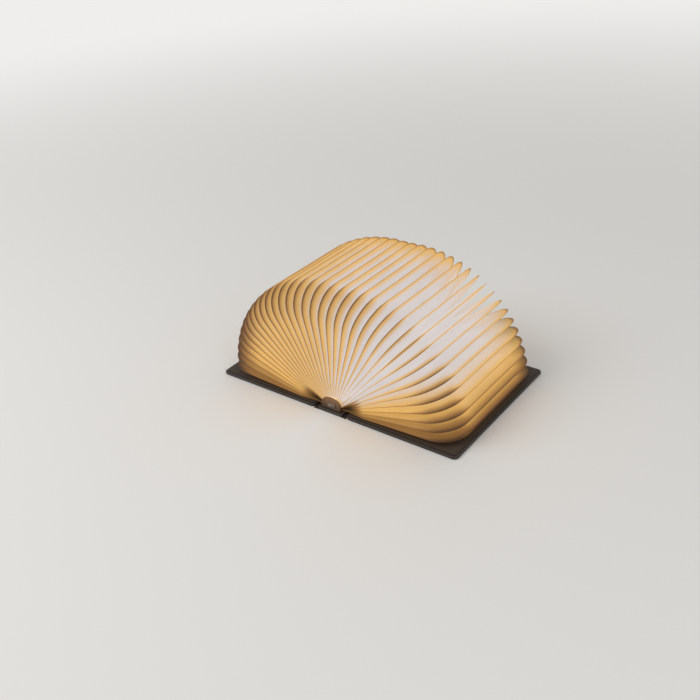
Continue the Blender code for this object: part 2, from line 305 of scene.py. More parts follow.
class Finish(Nodes):
    """A material under construction."""

    def __init__(self, name, colour, roughness, metallic=0.0):
        self.material = bpy.data.materials.new(name)
        self.material.use_nodes = True
        super().__init__(self.material.node_tree)
        self.shader = self.tree.nodes["Principled BSDF"]
        self.put("Base Color", colour)
        self.put("Roughness", roughness)
        self.put("Metallic", metallic)

    def put(self, socket, value):
        """Sets or links one of the shader's sockets."""
        self.fill(self.shader.inputs[socket], value)

    def coordinates(self):
        return self.node("ShaderNodeTexCoord", output="Object")

    def split(self, vector):
        """The x, y and z numbers of a vector."""
        made = self.node("ShaderNodeSeparateXYZ", inputs={0: vector}).socket.node
        return [Value(self, socket) for socket in made.outputs]

    def attribute(self, name):
        return self.node("ShaderNodeAttribute", {"attribute_name": name}, output="Fac")

    def stretched(self, per_metre):
        """Object coordinates multiplied along each axis, in repeats per metre."""
        settings = {"operation": "MULTIPLY"}
        return self.node("ShaderNodeVectorMath", settings, {0: self.coordinates(), 1: per_metre})

    def noise(self, per_metre, detail=2.0, roughness=0.5):
        """Even noise from 0 to 1, from one number of repeats per metre or from one for each axis."""
        stretch = per_metre if isinstance(per_metre, tuple) else (per_metre,) * 3
        inputs = {"Vector": self.stretched(stretch), "Scale": 1.0, "Detail": detail, "Roughness": roughness}
        return self.node("ShaderNodeTexNoise", inputs=inputs, output="Fac")

    def step(self, value, low, high):
        """Runs smoothly from 0 to 1 as value goes from low to high."""
        inputs = {"Value": value, "From Min": low, "From Max": high}
        return self.node("ShaderNodeMapRange", {"interpolation_type": "SMOOTHSTEP"}, inputs)

    def blend(self, factor, first, second):
        inputs = {0: factor, 6: first, 7: second}
        return self.node("ShaderNodeMix", {"data_type": "RGBA"}, inputs, output=2)

    def shade(self, colour, number):
        """A colour made brighter or darker by a number."""
        inputs = {0: colour, "Scale": number}
        return self.node("ShaderNodeVectorMath", {"operation": "SCALE"}, inputs)

    def bump(self, height, depth, strength):
        inputs = {"Height": height, "Distance": depth, "Strength": strength}
        self.put("Normal", self.node("ShaderNodeBump", inputs=inputs))


def new_piece(name, mesh, finish, smooth_to=35.0):
    """An object at the origin from a finished bmesh, smooth up to an angle in degrees."""
    data = bpy.data.meshes.new(name)
    mesh.to_mesh(data)
    mesh.free()
    data.materials.append(finish.material)
    data.shade_smooth()
    data.set_sharp_from_angle(angle=math.radians(smooth_to))
    piece = bpy.data.objects.new(name, data)
    bpy.context.scene.collection.objects.link(piece)
    return piece


def dress(piece, body, slot, *nodes):
    """Puts a piece on the body it rides on and hides the nodes it stands for; the slot, which names its
    finish, is not used.
    """
    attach(piece, body)
    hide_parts(*nodes)


def refinish(finish, *nodes):
    """Gives carried-over nodes their finish."""
    for name in nodes:
        data = frame["nodes"][name].data
        data.materials.clear()
        data.materials.append(finish.material)


# Lit paper

PAPER_FIBRES = (900.0, 260.0, 900.0)
PAPER_ROUGHNESS = 0.78

# Where a leaf's look changes. Depths are in leaf spacings, in from the fold. Leans go from 0, upright, to 1,
# on the cover. Reaches are from the root, and levels say how far the glow has risen.
CORNER_DEPTHS = (0.6, 1.8)
OPEN_DEPTHS = (0.1, 1.1)
WHITE_DEPTHS = (0.33, 1.5)
FRONT_WHITE_DEPTHS = (0.06, 0.75)
LOW_LEANS = (0.55, 0.80)
LOWEST_LEANS = (0.80, 1.0)
GOLDEN_LEANS = (0.58, 0.84)
FRONT_GOLDEN_LEANS = (0.66, 0.90)
HOLLOW_LEANS = (0.54, 0.72)
HOLLOW_REACHES = (12 * MM, 36 * MM)
FOLD_REACHES = (14 * MM, 46 * MM)
FOLD_LEVELS = (0.12, 0.46)
WALL_LEVELS = (0.32, 0.68)
PAINTED_FOLD_SHADE_LEVELS = (0.05, 0.5)
AMBER_HOLLOWS = (0.0, 0.5)
# The head end begins at these shares of a leaf's half length
WHITE_HEAD = 0.2
DIM_HEAD = 0.5

# The depth at which the glow has risen half way, and how much more or less it is on the fore-edge, from
# the upper leaves to the lowest, and round a corner, from the upper leaves to the low ones
HALF_WAY_DEPTH = 0.20
FRONT_HALF_WAYS = (0.35, 2.25)
CORNER_HALF_WAYS = (1.8, 4.6)

# Shares of the white, and then of the whole glow, that are lost. The lowest, hollow and head losses also
# darken the paper's base colour as painted shade
CORNER_WHITE_LOSS = 0.4
HEAD_WHITE_LOSS = 0.85
LOWEST_LOSS = 0.35
LOWEST_HOLLOW_LOSS = 0.5
HOLLOW_LOSS = 0.94
HEAD_LOSS = 0.55
CORNER_LOSS = 0.15


def lit_paper(settings):
    """White fibre paper lit from inside, its glow and shade painted into the emission colour: dark on the
    fold, golden below it and cream deep down. Its base colour is a dim amber with painted shade.

    The leaves carry each point's depth, its reach from the root, how far it is on the fore-edge, how
    near it is to a rounded corner and how low its leaf leans.
    """
    finish = Finish("lit_leaf_paper", settings.paper, PAPER_ROUGHNESS)
    depth, reach = finish.attribute("depth"), finish.attribute("reach")
    front, turn = finish.attribute("front"), finish.attribute("turn")
    lean = finish.attribute("lean")
    fibre = finish.noise(PAPER_FIBRES, detail=4.0)
    cloud = finish.noise(38.0, detail=3.0)
    _, y, _ = finish.split(finish.coordinates())

    bend = finish.step(turn, 0.0, 1.0) * (1.0 - finish.step(depth, *CORNER_DEPTHS))
    straight = front * (1.0 - bend)
    low = finish.step(lean, *LOW_LEANS)
    lowest = finish.step(lean, *LOWEST_LEANS)
    opened = straight * finish.step(depth, *OPEN_DEPTHS)
    front_half_way = between(straight, 1.0, between(lowest, *FRONT_HALF_WAYS))
    corner_half_way = between(bend, 1.0, between(low, *CORNER_HALF_WAYS))
    level = depth / (depth + HALF_WAY_DEPTH * front_half_way * corner_half_way)

    fold = finish.blend(bend, settings.soft_fold, settings.dark_fold)
    fold = finish.blend(straight, fold, settings.amber)
    fold = finish.blend(lowest * straight, fold, settings.dark_fold)
    fold = finish.blend(finish.step(reach, *FOLD_REACHES), settings.amber, fold)
    wall = finish.blend(lowest * (1.0 - opened), settings.gold, settings.amber)
    glow = finish.blend(finish.step(level, *FOLD_LEVELS), fold, settings.amber)
    glow = finish.blend(finish.step(level, *WALL_LEVELS), glow, wall)

    shallow, deep = (between(straight, *pair) for pair in zip(WHITE_DEPTHS, FRONT_WHITE_DEPTHS))
    upright, slanting = (between(straight, *pair) for pair in zip(GOLDEN_LEANS, FRONT_GOLDEN_LEANS))
    white = finish.step(depth, shallow, deep) * (1.0 - finish.step(lean, upright, slanting))
    white_head = finish.step(y, WHITE_HEAD * LEAF_HALF_LENGTH, LEAF_HALF_LENGTH)
    white = white * (1.0 - CORNER_WHITE_LOSS * bend) * (1.0 - HEAD_WHITE_LOSS * white_head * front)
    glow = finish.blend(white, glow, settings.cream)

    hollow = finish.step(lean, *HOLLOW_LEANS) * (1.0 - finish.step(reach, *HOLLOW_REACHES))
    hollow = hollow * (1.0 - LOWEST_HOLLOW_LOSS * lowest)
    glow = finish.blend(finish.step(hollow, *AMBER_HOLLOWS), glow, settings.amber)
    head = finish.step(y, DIM_HEAD * LEAF_HALF_LENGTH, LEAF_HALF_LENGTH)
    dim = (1.0 - LOWEST_LOSS * lowest * (1.0 - opened)) * (1.0 - HOLLOW_LOSS * hollow)
    dim = dim * (1.0 - HEAD_LOSS * head * low)
    texture = waver(cloud, 0.24) * waver(fibre, 0.20)
    finish.put("Emission Color", finish.shade(glow, dim * (1.0 - CORNER_LOSS * bend) * texture))
    finish.put("Emission Strength", 1.0)

    # Painted shade in the base colour: darker on the folds and on the lowest leaves, fading out as the glow
    # rises
    paper = finish.blend(straight, settings.shaded_fold_paper, settings.paper)
    paper = finish.blend(finish.step(level, *PAINTED_FOLD_SHADE_LEVELS), paper, settings.paper)
    paper = finish.blend(lowest, paper, settings.shaded_fold_paper)
    # Painted shade: the glow's losses in the hollows, on the lowest leaves and at the head dim the base
    # colour as well
    finish.put("Base Color", finish.shade(paper, dim * waver(fibre, 0.30)))
    finish.bump(fibre, depth=0.08 * MM, strength=0.5)
    return finish


def band_paper(settings):
    """The paper round the core, lit through: golden below and pale beside the lit bar."""
    finish = Finish("lit_band_paper", PAPER_COLOUR, PAPER_ROUGHNESS)
    _, _, z = finish.split(finish.coordinates())
    fibre = finish.noise(PAPER_FIBRES, detail=4.0)
    glow = finish.blend(finish.step(z, BAND_FOOT, BAR_HIGH.z), settings.band_foot, settings.band_top)
    finish.put("Emission Color", finish.shade(glow, waver(fibre, 0.30)))
    finish.put("Emission Strength", 1.0)
    finish.put("Base Color", finish.shade(PAPER_COLOUR, waver(fibre, 0.30)))
    finish.bump(fibre, depth=0.08 * MM, strength=0.5)
    return finish


# Other finishes

# Radians of the cloth's weave in a metre
WEAVE_PER_METRE = 5200.0
# Noise between these makes the cloth look rubbed and the lining flecked
RUBBED = (0.46, 0.72)
FLECKED = (0.60, 0.75)
# Share of the lit bar's half width that is fully bright
BAR_MIDDLE = 0.4
BOARD_COLOUR = (0.80, 0.80, 0.76)
GLASS_COLOUR = (0.25, 0.38, 0.30)
TONGUE_COLOUR = (0.02, 0.02, 0.022)
GILT_COLOUR = (0.75, 0.55, 0.22)
CONTACT_PITCH = 0.5 * MM
CONTACT_EDGE = (0.2, 0.5)


def cover_cloth(settings):
    """Dark book cloth with a fine woven grain, paler where it is rubbed."""
    finish = Finish("dark_book_cloth", settings.cloth, 0.62)
    x, y, _ = finish.split(finish.coordinates())
    weave = finish.math("SINE", x * WEAVE_PER_METRE) * finish.math("SINE", y * WEAVE_PER_METRE)
    slub = finish.noise(420.0, detail=4.0)
    rubbed = finish.noise(26.0, detail=3.0) * 0.6 + slub * 0.4
    colour = finish.blend(finish.step(rubbed, *RUBBED), settings.cloth, settings.worn_cloth)
    finish.put("Base Color", finish.shade(colour, 0.9 + 0.1 * weave))
    finish.put("Roughness", 0.52 + 0.2 * slub)
    finish.bump(weave * 0.35 + slub, depth=0.12 * MM, strength=0.6)
    return finish


def lining_paper(settings):
    """Dark fibre paper with a few paler flecks."""
    finish = Finish("dark_lining_paper", settings.end_paper, 0.8)
    fibre = finish.noise((300.0, 1500.0, 300.0), detail=5.0)
    fleck = finish.step(finish.noise(1100.0), *FLECKED)
    finish.put("Base Color", finish.shade(settings.end_paper, 0.72 + 0.4 * fibre + 0.2 * fleck))
    finish.bump(fibre, depth=0.05 * MM, strength=0.5)
    return finish


def brown_plastic(settings):
    """Satin brown plastic, with painted light: lighter high up where the lamp's glow falls, and darker
    towards the table in painted shade.
    """
    finish = Finish("satin_brown_plastic", settings.plastic, 0.36)
    grain = finish.noise(2600.0)
    drift = finish.noise(60.0)
    _, _, z = finish.split(finish.coordinates())
    # Painted light and shade: brighter towards the top of the ends, darker towards the table
    painted_light_tone = 0.45 + 0.75 * finish.step(z, TRAY_LOW.z, END_TOP)
    finish.put("Base Color", finish.shade(settings.plastic, painted_light_tone * waver(drift, 0.4)))
    finish.put("Roughness", 0.44 + 0.2 * grain)
    finish.bump(grain, depth=0.02 * MM, strength=0.4)
    return finish


def milky_plastic(settings):
    """The lit bar: brightest along its middle and over the lights, falling off to its sides."""
    finish = Finish("lit_milky_plastic", (0.62, 0.58, 0.50), 0.35)
    x, y, _ = finish.split(finish.coordinates())
    fall = 1.0 - 0.5 * finish.step(finish.math("ABSOLUTE", x), BAR_HIGH.x * BAR_MIDDLE, BAR_HIGH.x)
    spots = 0.9 - 0.1 * finish.math("COSINE", y * (math.tau / LIGHT_PITCH))
    finish.put("Emission Color", finish.shade(settings.light, fall * spots))
    finish.put("Emission Strength", 0.8)
    finish.bump(finish.noise((1500.0, 60.0, 1500.0)), depth=0.03 * MM, strength=0.4)
    return finish


def circuit_board():
    """White solder mask with faint tracks in it."""
    finish = Finish("white_circuit_board", BOARD_COLOUR, 0.42)
    tracks = finish.node("ShaderNodeTexBrick", {"offset": 0.5}, {
        "Vector": finish.stretched((900.0, 240.0, 900.0)), "Scale": 1.0, "Mortar Size": 0.06,
        "Color1": BOARD_COLOUR, "Color2": (0.78, 0.79, 0.75), "Mortar": (0.62, 0.64, 0.58),
    })
    finish.put("Base Color", tracks)
    finish.bump(finish.noise(4000.0), depth=0.01 * MM, strength=0.3)
    return finish


def light_phosphor(settings):
    finish = Finish("light_phosphor", (0.95, 0.75, 0.25), 0.45)
    grain = finish.noise(2500.0)
    finish.put("Emission Color", finish.shade(settings.light, waver(grain, 0.4)))
    finish.put("Emission Strength", 2.0)
    return finish


def battery_foil():
    finish = Finish("battery_foil", (0.62, 0.63, 0.65), 0.35, metallic=1.0)
    crease = finish.noise(240.0, detail=5.0, roughness=0.6)
    finish.put("Roughness", 0.28 + 0.25 * crease)
    finish.bump(crease, depth=0.15 * MM, strength=0.5)
    return finish


def plated_steel():
    finish = Finish("plated_steel", (0.70, 0.70, 0.72), 0.25, metallic=1.0)
    brushed = finish.noise((300.0, 4000.0, 4000.0), detail=3.0)
    finish.put("Roughness", 0.16 + 0.22 * brushed)
    finish.bump(brushed, depth=0.01 * MM, strength=0.3)
    return finish


def black_plastic():
    """The socket's tongue, with a row of gilt contacts across it."""
    finish = Finish("black_plastic", TONGUE_COLOUR, 0.45)
    x, _, _ = finish.split(finish.coordinates())
    contact = finish.step(finish.math("SINE", x * (math.tau / CONTACT_PITCH)), *CONTACT_EDGE)
    finish.put("Base Color", finish.blend(contact, TONGUE_COLOUR, GILT_COLOUR))
    finish.put("Metallic", contact)
    finish.put("Roughness", 0.45 - 0.2 * contact)
    return finish


def switch_glass():
    finish = Finish("switch_glass", GLASS_COLOUR, 0.1)
    finish.put("Transmission Weight", 0.6)
    finish.put("Base Color", finish.shade(GLASS_COLOUR, waver(finish.noise(500.0), 0.2)))
    return finish


# Meshes

def only_verts(geometry):
    """The points among what an operator returns."""
    return [item for item in geometry if isinstance(item, bmesh.types.BMVert)]


def neighbours(ring):
    """Each point of a closed ring, after the one before it."""
    return zip(ring[-1:] + ring[:-1], ring)


def ring_edges(mesh, ring):
    return [mesh.edges.get(pair) for pair in neighbours(ring)]


def box_mesh(low, high):
    mesh = bmesh.new()
    bmesh.ops.create_cube(mesh, size=1.0)
    bmesh.ops.scale(mesh, verts=mesh.verts, vec=high - low)
    bmesh.ops.translate(mesh, verts=mesh.verts, vec=(low + high) / 2)
    return mesh


def bevel_edges(mesh, edges, width, facets):
    bmesh.ops.bevel(
        mesh, geom=edges, offset=width, segments=facets, profile=0.5, affect="EDGES", material=-1,
        clamp_overlap=True,
    )


def add_arch(mesh, half, rise, y, steps):
    """Half an ellipse of edges over the ground in the plane at y, from its first point to its last."""
    first = mesh.verts.new((half, y, 0.0))
    spun = bmesh.ops.spin(
        mesh, geom=[first], cent=(0.0, y, 0.0), axis=(0.0, -1.0, 0.0), angle=math.pi, steps=steps
    )
    bmesh.ops.scale(mesh, verts=mesh.verts, vec=(1.0, 1.0, rise / half))
    return first, only_verts(spun["geom_last"])[0]


def draw_out(mesh, length):
    """Draws a mesh's edges out along Y into a sheet."""
    grown = bmesh.ops.extrude_edge_only(mesh, edges=mesh.edges)
    bmesh.ops.translate(mesh, verts=only_verts(grown["geom"]), vec=(0.0, length, 0.0))
    bmesh.ops.recalc_face_normals(mesh, faces=mesh.faces)


def thicken(mesh, thickness):
    """Gives a sheet its thickness."""
    bmesh.ops.solidify(mesh, geom=mesh.faces, thickness=thickness)
    bmesh.ops.recalc_face_normals(mesh, faces=mesh.faces)


# Leaves

EDGE_STEPS = 5
CORNER_STEPS = 9
FRONT_STEPS = 10
# The turn at a corner is half a wave that lacks this share at either end, and is less at the head
TURN_START = 0.15
HEAD_TURN = 0.35
# The roots lie behind the ends. Slanting leaves start further in beside the core, and all run on into it
ROOT_INSET = 2.6 * MM
ROOT_DIP = 4.5 * MM
ROOT_REACH = 3.0 * MM
# Where a wall's section has points: shares of the leaf spacing, in from the fold
FOLD_SHARES = (0.08, 0.22, 0.5, 1.0, 1.9)
# No wall point lies past this share of the way in, but for the inner edge itself
INNERMOST_SHARE = 0.85
INSIDE_SHARES = (0.5, 1.0)
RIPPLES_PER_METRE = 24.0
# How far the ripple noise is moved on from leaf to leaf, and from side to side
RIPPLE_MOVES = (7.3, 3.1)
# The inner edges of neighbouring leaves are stuck together, with a lap of twice this
VALLEY_LAP = 0.03 * MM
# Behind each inner edge a flap runs under the next leaf, and closes the valley when the fan opens further
FLAP_WIDTH = 1.3 * MM
FLAP_DROP = 0.5 * MM
BLEND_RADIUS = 90 * MM


def root_x(angle):
    """Where a leaf plane at this angle from upright meets the leaf floor."""
    if math.isclose(angle, math.pi / 2):
        return HINGE_X - STACK_HALF / (math.pi / 2)
    shut = STACK_HALF * angle / (math.pi / 2)
    return HINGE_X + (shut - HINGE_X + LEAF_FLOOR * math.sin(angle)) / math.cos(angle)


def leaf_reach(angle):
    """Length of a leaf from its root to its fore-edge."""
    return LEAF_HEIGHT - (root_x(angle) - HINGE_X) * math.sin(angle) - LEAF_FLOOR * math.cos(angle)


def leaf_point(side, angle, reach, y):
    x = root_x(angle) + reach * math.sin(angle)
    return Vector((side * x, y, LEAF_FLOOR + reach * math.cos(angle)))


def leaf_spacing(reach):
    """From one leaf's fold to the next, at a distance from their roots."""
    return 2 * reach * math.tan(LEAF_PITCH / 2)


def leaf_normal(side, angle):
    """Square to a leaf plane, towards its cover."""
    return Vector((side * math.cos(angle), 0.0, -math.sin(angle)))


def leaf_path(reach, half_length, corner, start):
    """(reach, y, front, turn) along an edge of a leaf, from the spine round both corners and back.

    front runs to 1 on the fore-edge, and turn to 1 at the middle of a rounded corner.
    """
    tail = [(place, ROOT_INSET - half_length, 0.0, 0.0) for place in (ROOT_REACH, start)]
    for step in range(1, EDGE_STEPS):
        along = (reach - corner - start) * step / EDGE_STEPS
        tail.append((start + along, -half_length, 0.0, 0.0))
    for step in range(CORNER_STEPS + 1):
        share = step / CORNER_STEPS
        bend = math.pi / 2 * share
        place = (reach - corner + corner * math.sin(bend), corner - half_length - corner * math.cos(bend))
        tail.append((*place, share, math.sin(math.pi * (TURN_START + (1 - 2 * TURN_START) * share))))
    front = []
    for step in range(1, FRONT_STEPS):
        front.append((reach, (half_length - corner) * (2 * step / FRONT_STEPS - 1), 1.0, 0.0))
    return tail + front + [(r, -y, f, t * HEAD_TURN) for r, y, f, t in reversed(tail)]


def leaf_section(side, number, ridge_place, inner_place, settings):
    """The ring of points round one section of a leaf, each with its depth from the fold in leaf spacings.

    The ring goes over the outside from one inner edge to the other, and back along the inside.
    """
    angle = (number - 0.5) * LEAF_PITCH
    ridge = leaf_point(side, angle, *ridge_place)
    seed = Vector((number * RIPPLE_MOVES[0], side * RIPPLE_MOVES[1], 0.0))
    wave = noise.noise(Vector((*ridge_place, 0.0)) * RIPPLES_PER_METRE + seed) * settings.ripple
    sideways = leaf_normal(side, angle) * wave
    edges = []
    for turn in (-LEAF_PITCH / 2, LEAF_PITCH / 2):
        outward = math.copysign(1.0, turn) * leaf_normal(side, angle + turn)
        edges.append((leaf_point(side, angle + turn, *inner_place) + outward * VALLEY_LAP, outward))
    half_width = (edges[1][0] - edges[0][0]).length / 2
    depth = (edges[0][0] - ridge).length
    spacing = leaf_spacing(ridge_place[0])

    def place(edge, outward, share, inset=0.0):
        swell = settings.bulge * half_width * 4 * share * (1 - share) - inset
        return ridge + (edge - ridge) * share + outward * swell + sideways * (1 - share)

    outer = [min(share * spacing / depth, INNERMOST_SHARE) for share in FOLD_SHARES] + [1.0]
    fold = min(settings.wall / half_width, INNERMOST_SHARE)
    inner = [fold + (1 - fold) * share for share in INSIDE_SHARES]
    middle = ((edges[0][0] + edges[1][0]) / 2, Vector())
    # The lowest leaf has no neighbour on its cover's side
    flap_widths = (FLAP_WIDTH, FLAP_WIDTH if number < LEAVES_PER_SIDE else 0.0)
    flaps = []
    for (edge, outward), width in zip(edges, flap_widths):
        flaps.append(edge + outward * width + (edge - ridge).normalized() * FLAP_DROP)
    ring = [(flaps[0], 1.0)]
    ring += [(place(*edges[0], share), share) for share in reversed(outer)]
    ring.append((ridge + sideways, 0.0))
    ring += [(place(*edges[1], share), share) for share in outer]
    ring.append((flaps[1], 1.0))
    ring += [(place(*edges[1], share, settings.wall), share) for share in reversed(inner)]
    ring.append((place(*middle, fold), fold))
    ring += [(place(*edges[0], share, settings.wall), share) for share in inner]
    return [(point, share * depth / spacing) for point, share in ring]


def grow_ring(mesh, ring):
    """Extrudes a closed ring of points, and returns the new ring in the same order."""
    grown = bmesh.ops.extrude_edge_only(mesh, edges=ring_edges(mesh, ring))
    fresh = set(only_verts(grown["geom"]))
    following = []
    for vert in ring:
        ends = [edge.other_vert(vert) for edge in vert.link_edges]
        following.append(next(end for end in ends if end in fresh))
    return following


def leaf_mesh(side, number, settings):
    """A folded strip of paper: its section is extruded from station to station round the leaf."""
    reach = leaf_reach((number - 0.5) * LEAF_PITCH)
    lean = (number - 0.5) / LEAVES_PER_SIDE
    start = settings.start - ROOT_DIP * math.sin(2 * (number - 0.5) * LEAF_PITCH) ** 2
    ridge_path = leaf_path(reach, LEAF_HALF_LENGTH, settings.corner, start)
    inner_half = LEAF_HALF_LENGTH - settings.depth
    inner_path = leaf_path(reach - settings.depth, inner_half, settings.inner_corner, start)
    mesh = bmesh.new()
    marks = ("depth", "reach", "front", "turn", "lean")
    layers = [mesh.verts.layers.float.new(name) for name in marks]
    ring, end_rings = [], []
    for ridge, inner in zip(ridge_path, inner_path):
        section = leaf_section(side, number, ridge[:2], inner[:2], settings)
        if ring:
            ring = grow_ring(mesh, ring)
        else:
            ring = [mesh.verts.new() for _ in section]
            for pair in neighbours(ring):
                mesh.edges.new(pair)
        end_rings = end_rings[:1] + [ring]
        for vert, (point, depth) in zip(ring, section):
            vert.co = point
            for layer, value in zip(layers, (depth, ridge[0], ridge[2], ridge[3], lean)):
                vert[layer] = value
    for ring in end_rings:
        bmesh.ops.edgeloop_fill(mesh, edges=ring_edges(mesh, ring))
    bmesh.ops.recalc_face_normals(mesh, faces=mesh.faces)
    return mesh


def blend_leaf(piece, side, number):
    """Works out how a leaf would turn with its cover by its own share, so that the fan spreads and shuts in
    order, but sets up no turn: it only bakes the leaf's place into its mesh.

    The blend is a smooth step: place is how far along it the leaf's share is reached, and run is the
    length that gives the leaf's two walls their own shares as well.
    """
    angle = (number - 0.5) * LEAF_PITCH
    share = angle / (math.pi / 2)
    place = 0.5 - math.sin(math.asin(1 - 2 * share) / 3)
    half_turn_share = (LEAF_PITCH / 2) / (math.pi / 2)
    run = 6 * place * (1 - place) * BLEND_RADIUS * math.tan(LEAF_PITCH / 2) / half_turn_share
    middle = leaf_point(side, angle, BLEND_RADIUS, 0.0)
    along = leaf_normal(side, angle) * run
    middle - along * place
    middle + along * (1 - place)
    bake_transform(piece)


class BOOKLAMP_OT_leaves(bpy.types.Operator):
    """Folds the paper leaves on both sides of the spine"""

    bl_idname = "booklamp.leaves"
    bl_label = "Paper leaves"

    def execute(self, context):
        settings = context.scene.book_lamp_leaves
        finish = lit_paper(settings)
        for side, name in SIDES:
            for number in range(1, LEAVES_PER_SIDE + 1):
                mesh = leaf_mesh(side, number, settings)
                piece = new_piece(f"{name}_paper_leaf_{number:02d}", mesh, finish)
                blend_leaf(piece, side, number)
                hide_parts(f"{name}_leaf_{number:02d}")
        return {"FINISHED"}


# Covers and spine

SPINE_CORNER = 1.5 * MM
CORNER_FACETS = 8
EDGE_FACETS = 4
POCKET_SIDES = 32
HINGE_CELLS = (16, 34)
HINGE_LIFT = 0.1 * MM
HINGE_THICKNESS_SHARE = 0.8
COVER_MAGNETS = {"right": ("right_cover_magnet", "switch_magnet"), "left": ("left_cover_magnet",)}


def rounded_board(low, high, corner, edge):
    """A board with rounded corners and cloth-wrapped edges."""
    mesh = box_mesh(low, high)
    upright = [e for e in mesh.edges if e.verts[0].co.xy == e.verts[1].co.xy]
    bevel_edges(mesh, upright, corner, CORNER_FACETS)
    flat = [e for e in mesh.edges if (e.verts[0].co.z > low.z) == (e.verts[1].co.z > low.z)]
    bevel_edges(mesh, flat, edge, EDGE_FACETS)
    return mesh


def sink_pockets(mesh, magnets, gap):
    """Sinks a round pocket for each magnet in the top of a board."""
    top = max((face for face in mesh.faces if face.normal.z > 0.9), key=lambda face: face.calc_area())
    height = top.verts[0].co.z
    rims = list(top.edges)
    bmesh.ops.delete(mesh, geom=[top], context="FACES_ONLY")
    mouths = []
    for name in magnets:
        low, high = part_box(name)
        place = Matrix.Translation(((low.x + high.x) / 2, (low.y + high.y) / 2, height))
        radius = (high.y - low.y) / 2 + gap
        made = bmesh.ops.create_circle(mesh, segments=POCKET_SIDES, radius=radius, matrix=place)
        mouth = list({edge for vert in made["verts"] for edge in vert.link_edges})
        mouths.append((mouth, low.z - gap - height))
        rims += mouth
    bmesh.ops.triangle_fill(mesh, use_beauty=True, edges=rims)
    for mouth, drop in mouths:
        grown = bmesh.ops.extrude_edge_only(mesh, edges=mouth)["geom"]
        bmesh.ops.translate(mesh, verts=only_verts(grown), vec=(0.0, 0.0, drop))
        floor = [item for item in grown if isinstance(item, bmesh.types.BMEdge) and len(item.link_faces) == 1]
        bmesh.ops.edgeloop_fill(mesh, edges=floor)
    bmesh.ops.recalc_face_normals(mesh, faces=mesh.faces)


class BOOKLAMP_OT_covers(bpy.types.Operator):
    """Wraps the two cover boards and the spine in book cloth and lines the covers"""

    bl_idname = "booklamp.covers"
    bl_label = "Covers and spine"

    def execute(self, context):
        settings = context.scene.book_lamp_cover
        cloth = cover_cloth(settings)
        for side, name in SIDES:
            node = f"{name}_cover_board"
            mesh = rounded_board(*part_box(node), settings.corner, settings.edge)
            sink_pockets(mesh, COVER_MAGNETS[name], CLEARANCE)
            dress(new_piece(f"{name}_cloth_cover", mesh, cloth), f"{name}_cover", "cover_cloth", node)
            self.add_hinge(side, name, cloth, settings)
        spine = rounded_board(SPINE_LOW, SPINE_HIGH, SPINE_CORNER, settings.edge)
        dress(new_piece("cloth_spine", spine, cloth), "spine", "cover_cloth", "spine_board")
        refinish(lining_paper(settings), "left_cover_lining", "right_cover_lining")
        refinish(plated_steel(), "left_cover_magnet", "right_cover_magnet", "switch_magnet")
        return {"FINISHED"}

    def add_hinge(self, side, name, cloth, settings):
        """The strip of cloth pressed into the groove between the spine and a cover, where the book bends; the
        strip itself is built in place and not made to bend.
        """
        node = f"{name}_hinge_cloth"
        low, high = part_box(node)
        lap = CLEARANCE + settings.edge / 2
        near, far = low.x - lap, high.x + lap
        mesh = bmesh.new()
        bmesh.ops.create_grid(mesh, x_segments=HINGE_CELLS[0], y_segments=HINGE_CELLS[1], size=0.5)
        bmesh.ops.scale(mesh, verts=mesh.verts, vec=(far - near, high.y - low.y, 1.0))
        bmesh.ops.translate(mesh, verts=mesh.verts, vec=((near + far) / 2, 0.0, 0.0))
        for vert in mesh.verts:
            share = (vert.co.x - near) / (far - near)
            vert.co.z = low.z + HINGE_LIFT + settings.groove * math.sin(math.pi * share) ** 2
        thicken(mesh, -(high.z - low.z) * HINGE_THICKNESS_SHARE)
        piece = new_piece(f"{name}_cloth_hinge", mesh, cloth)
        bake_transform(piece)
        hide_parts(node)


# Core

ARCH_STEPS = 32
BAR_STEPS = 36
BAR_WALL = 1.0 * MM
SOCKET_WALL = 0.3 * MM
SOCKET_FACETS = 6
BAND_FOOT = 4.6 * MM
BAND_GAP = 0.2 * MM
BAND_WALL = 0.12 * MM
# Share of the core's width that the bands leave open for the light
BAND_WINDOW = 0.6


def arched_outline(low, high, shoulder):
    """The outline of an end, standing at the low end in Y: straight sides under half an ellipse."""
    mesh = bmesh.new()
    feet = add_arch(mesh, (high.x - low.x) / 2, high.z - low.z - shoulder, low.y, ARCH_STEPS)
    bmesh.ops.translate(mesh, verts=mesh.verts, vec=((low.x + high.x) / 2, 0.0, low.z + shoulder))
    feet = bmesh.ops.extrude_vert_indiv(mesh, verts=feet)["verts"]
    for foot in feet:
        foot.co.z = low.z
    mesh.edges.new(feet)
    return mesh


